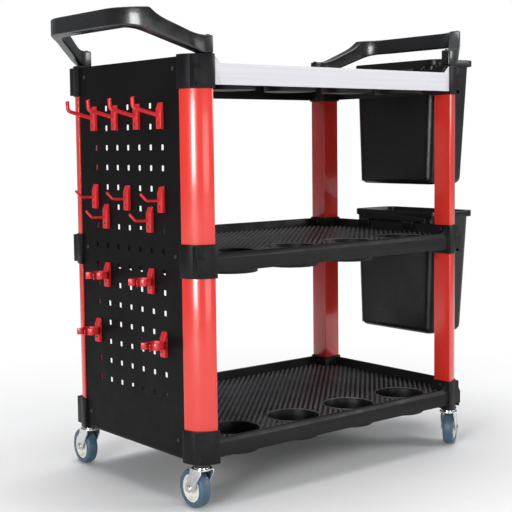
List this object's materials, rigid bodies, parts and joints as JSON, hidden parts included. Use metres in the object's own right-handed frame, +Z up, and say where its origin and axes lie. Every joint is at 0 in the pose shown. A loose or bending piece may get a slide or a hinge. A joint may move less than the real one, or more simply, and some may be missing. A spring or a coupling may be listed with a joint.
{
  "type": "rolling utility cart",
  "caption": "Rolling utility cart: moulded shelves with bottle cups on quarter-round posts, a pegboard end with hooks, hung bins, end handles and swivel casters.",
  "frame": {"origin": "on the floor under the middle of the shelves and of the four caster stems", "axes": "+X along the cart from the pegboard end to the bin end, +Y from the cup side to the plain side, +Z up"},
  "size_m": [0.996, 0.496, 0.948],
  "materials": {
    "shelf_black": "fine-grained moulded black plastic",
    "silver_trim": "satin silver strip",
    "post_red": "semi-gloss red coating",
    "handle_black": "glossy black plastic",
    "panel_black": "satin black powder coat",
    "hook_red": "semi-gloss red plastic",
    "bin_black": "smooth black plastic",
    "screw_black": "black oxide",
    "zinc": "bright zinc plate",
    "seal_black": "matt black",
    "hub_cream": "cream plastic",
    "tyre_blue": "soft blue-grey tread"
  },
  "bodies": {
    "root": {"bottom_shelf": "shelf_black", "middle_shelf": "shelf_black", "top_tray": "shelf_black", "top_tray_front_trim": "silver_trim", "lower_post_front_left": "post_red", "upper_post_front_left": "post_red", "lower_post_front_right": "post_red", "upper_post_front_right": "post_red", "lower_post_back_right": "post_red", "upper_post_back_right": "post_red", "lower_post_back_left": "post_red", "upper_post_back_left": "post_red", "left_handle": "handle_black", "right_handle": "handle_black", "pegboard_panel": "panel_black", "long_hook_1": "hook_red", "long_hook_2": "hook_red", "long_hook_3": "hook_red", "long_hook_4": "hook_red", "short_hook_1": "hook_red", "short_hook_2": "hook_red", "short_hook_3": "hook_red", "short_hook_4": "hook_red", "short_hook_5": "hook_red", "spring_clip_1": "hook_red", "spring_clip_2": "hook_red", "spring_clip_3": "hook_red", "spring_clip_4": "hook_red", "post_screws": "screw_black", "handle_screws": "screw_black", "panel_screws": "screw_black", "caster_stem_front_left": "zinc", "caster_race_front_left": "seal_black", "caster_stem_front_right": "zinc", "caster_race_front_right": "seal_black", "caster_stem_back_right": "zinc", "caster_race_back_right": "seal_black", "caster_stem_back_left": "zinc", "caster_race_back_left": "seal_black"},
    "upper_bin": {"upper_bin": "bin_black"},
    "lower_bin": {"lower_bin": "bin_black"},
    "fork_front_left": {"caster_fork_front_left": "zinc", "caster_axle_front_left": "zinc"},
    "wheel_front_left": {"caster_hub_front_left": "hub_cream", "caster_tyre_front_left": "tyre_blue"},
    "fork_front_right": {"caster_fork_front_right": "zinc", "caster_axle_front_right": "zinc"},
    "wheel_front_right": {"caster_hub_front_right": "hub_cream", "caster_tyre_front_right": "tyre_blue"},
    "fork_back_right": {"caster_fork_back_right": "zinc", "caster_axle_back_right": "zinc"},
    "wheel_back_right": {"caster_hub_back_right": "hub_cream", "caster_tyre_back_right": "tyre_blue"},
    "fork_back_left": {"caster_fork_back_left": "zinc", "caster_axle_back_left": "zinc"},
    "wheel_back_left": {"caster_hub_back_left": "hub_cream", "caster_tyre_back_left": "tyre_blue"}
  },
  "joints": [
    {"name": "upper_bin_lift", "type": "slide", "parent": "root", "child": "upper_bin", "axis": [0, 0, 1], "range_m": [0, 0.017]},
    {"name": "lower_bin_lift", "type": "slide", "parent": "root", "child": "lower_bin", "axis": [0, 0, 1], "range_m": [0, 0.05]},
    {"name": "swivel_front_left", "type": "hinge", "parent": "root", "child": "fork_front_left", "pos_m": [-0.351, -0.205, 0.08], "axis": [0, 0, 1], "continuous": true},
    {"name": "roll_front_left", "type": "hinge", "parent": "fork_front_left", "child": "wheel_front_left", "pos_m": [-0.351, -0.183, 0.038], "axis": [-1, 0, 0], "continuous": true},
    {"name": "swivel_front_right", "type": "hinge", "parent": "root", "child": "fork_front_right", "pos_m": [0.351, -0.205, 0.08], "axis": [0, 0, 1], "continuous": true},
    {"name": "roll_front_right", "type": "hinge", "parent": "fork_front_right", "child": "wheel_front_right", "pos_m": [0.36966, -0.19334, 0.038], "axis": [-0.5299, 0.848, 0], "continuous": true},
    {"name": "swivel_back_right", "type": "hinge", "parent": "root", "child": "fork_back_right", "pos_m": [0.351, 0.205, 0.08], "axis": [0, 0, 1], "continuous": true},
    {"name": "roll_back_right", "type": "hinge", "parent": "fork_back_right", "child": "wheel_back_right", "pos_m": [0.362, 0.22405, 0.038], "axis": [-0.866, 0.5, 0], "continuous": true},
    {"name": "swivel_back_left", "type": "hinge", "parent": "root", "child": "fork_back_left", "pos_m": [-0.351, 0.205, 0.08], "axis": [0, 0, 1], "continuous": true},
    {"name": "roll_back_left", "type": "hinge", "parent": "fork_back_left", "child": "wheel_back_left", "pos_m": [-0.34947, 0.22695, 0.038], "axis": [-0.9976, 0.0698, 0], "continuous": true}
  ]
}
